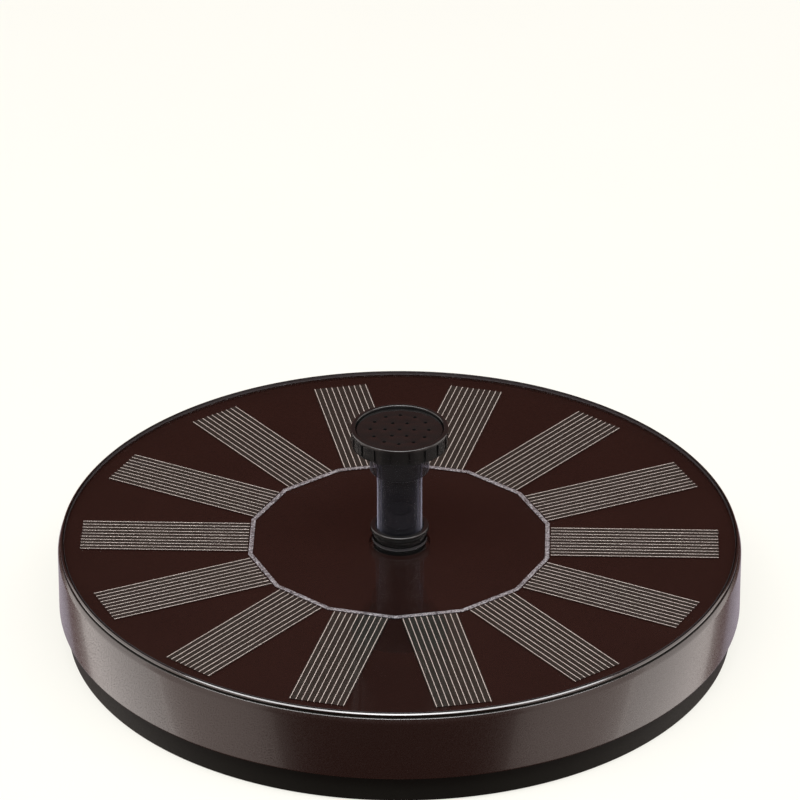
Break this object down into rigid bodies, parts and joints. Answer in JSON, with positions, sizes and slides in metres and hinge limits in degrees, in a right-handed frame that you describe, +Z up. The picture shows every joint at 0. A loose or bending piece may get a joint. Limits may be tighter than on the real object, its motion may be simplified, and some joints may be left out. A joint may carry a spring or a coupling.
{
  "type": "solar fountain pump",
  "caption": "Round floating solar panel disc with a built-in water pump and a central spray nozzle, for bird baths and ponds.",
  "frame": {"origin": "middle of the flat underside of the casing", "axes": "+Z up along the nozzle; -Y is the front; one cell strip points along +X"},
  "size_m": [0.16, 0.16, 0.053],
  "materials": {
    "casing_black": "gloss",
    "base_black": "satin",
    "inner_black": "satin",
    "seal_rubber": "matte",
    "foam_white": "foamed",
    "sponge_black": "open foam",
    "steel": "satin",
    "core_steel": "satin",
    "copper": "satin",
    "board_black": "gloss",
    "board_green": "satin",
    "cell_brown": "satin",
    "hub_silver": "glittery",
    "cover_clear": "gloss",
    "tube_clear": "gloss",
    "magnet_grey": "matte",
    "impeller_white": "satin",
    "ceramic": "polished",
    "lead_red": "satin",
    "lead_black": "satin"
  },
  "bodies": {
    "float": {"upper_casing": "casing_black", "lower_casing": "base_black", "casing_seal": "seal_rubber", "well_seal": "seal_rubber", "foam_float": "foam_white", "panel_board": "board_black", "hub_ring": "hub_silver", "panel_cover": "cover_clear", "junction_box": "inner_black", "well_grommet": "seal_rubber", "pump_gland": "seal_rubber", "lead_positive": "lead_red", "lead_negative": "lead_black", "pump_body": "inner_black", "pump_top_cap": "inner_black", "pump_top_seal": "seal_rubber", "stator_core": "core_steel", "driver_board": "board_green", "impeller_shaft": "ceramic", "upper_shaft_bush": "seal_rubber", "outlet_collar": "casing_black", "casing_screw_1": "steel", "casing_screw_2": "steel", "casing_screw_3": "steel", "casing_screw_4": "steel", "casing_screw_5": "steel", "casing_screw_6": "steel", "coil_1": "copper", "coil_2": "copper", "coil_3": "copper", "coil_4": "copper", "solar_cell_01": "cell_brown", "solar_cell_02": "cell_brown", "solar_cell_03": "cell_brown", "solar_cell_04": "cell_brown", "solar_cell_05": "cell_brown", "solar_cell_06": "cell_brown", "solar_cell_07": "cell_brown", "solar_cell_08": "cell_brown", "solar_cell_09": "cell_brown", "solar_cell_10": "cell_brown", "solar_cell_11": "cell_brown", "solar_cell_12": "cell_brown", "solar_cell_13": "cell_brown", "solar_cell_14": "cell_brown"},
    "chamber_cover": {"chamber_cover": "inner_black", "lower_shaft_bush": "seal_rubber"},
    "impeller": {"impeller": "impeller_white", "rotor_magnet": "magnet_grey"},
    "strainer": {"strainer_cover": "base_black", "filter_sponge": "sponge_black"},
    "nozzle_gasket": {"nozzle_gasket": "seal_rubber"},
    "nozzle": {"nozzle_tube": "tube_clear", "head_socket": "tube_clear"},
    "cap_gasket": {"cap_gasket": "seal_rubber"},
    "spray_cap": {"spray_cap": "casing_black", "spray_plate": "casing_black"}
  },
  "joints": [
    {"name": "impeller_spin", "type": "hinge", "parent": "float", "child": "impeller", "pos_m": [0, 0, 0.0088], "axis": [0, 0, 1], "continuous": true},
    {"name": "chamber_cover_twist", "type": "hinge", "parent": "float", "child": "chamber_cover", "pos_m": [0, 0, 0.006], "axis": [0, 0, 1], "range_deg": [0, 30]},
    {"name": "strainer_pull", "type": "slide", "parent": "float", "child": "strainer", "axis": [0, 0, -1], "range_m": [0, 0.02]},
    {"name": "nozzle_lift", "type": "slide", "parent": "float", "child": "nozzle_gasket", "axis": [0, 0, 1], "range_m": [0, 0.01]},
    {"name": "nozzle_turn", "type": "hinge", "parent": "nozzle_gasket", "child": "nozzle", "pos_m": [0, 0, 0.0249], "axis": [0, 0, 1], "continuous": true},
    {"name": "cap_rise", "type": "slide", "parent": "nozzle", "child": "cap_gasket", "axis": [0, 0, 1], "range_m": [0, 0.0015]},
    {"name": "cap_turn", "type": "hinge", "parent": "cap_gasket", "child": "spray_cap", "pos_m": [0, 0, 0.049], "axis": [0, 0, 1], "range_deg": [0, 541]}
  ],
  "couplings": [
    {"joint": "cap_turn", "follows": "cap_rise", "rad_per_m": 6283.2}
  ]
}
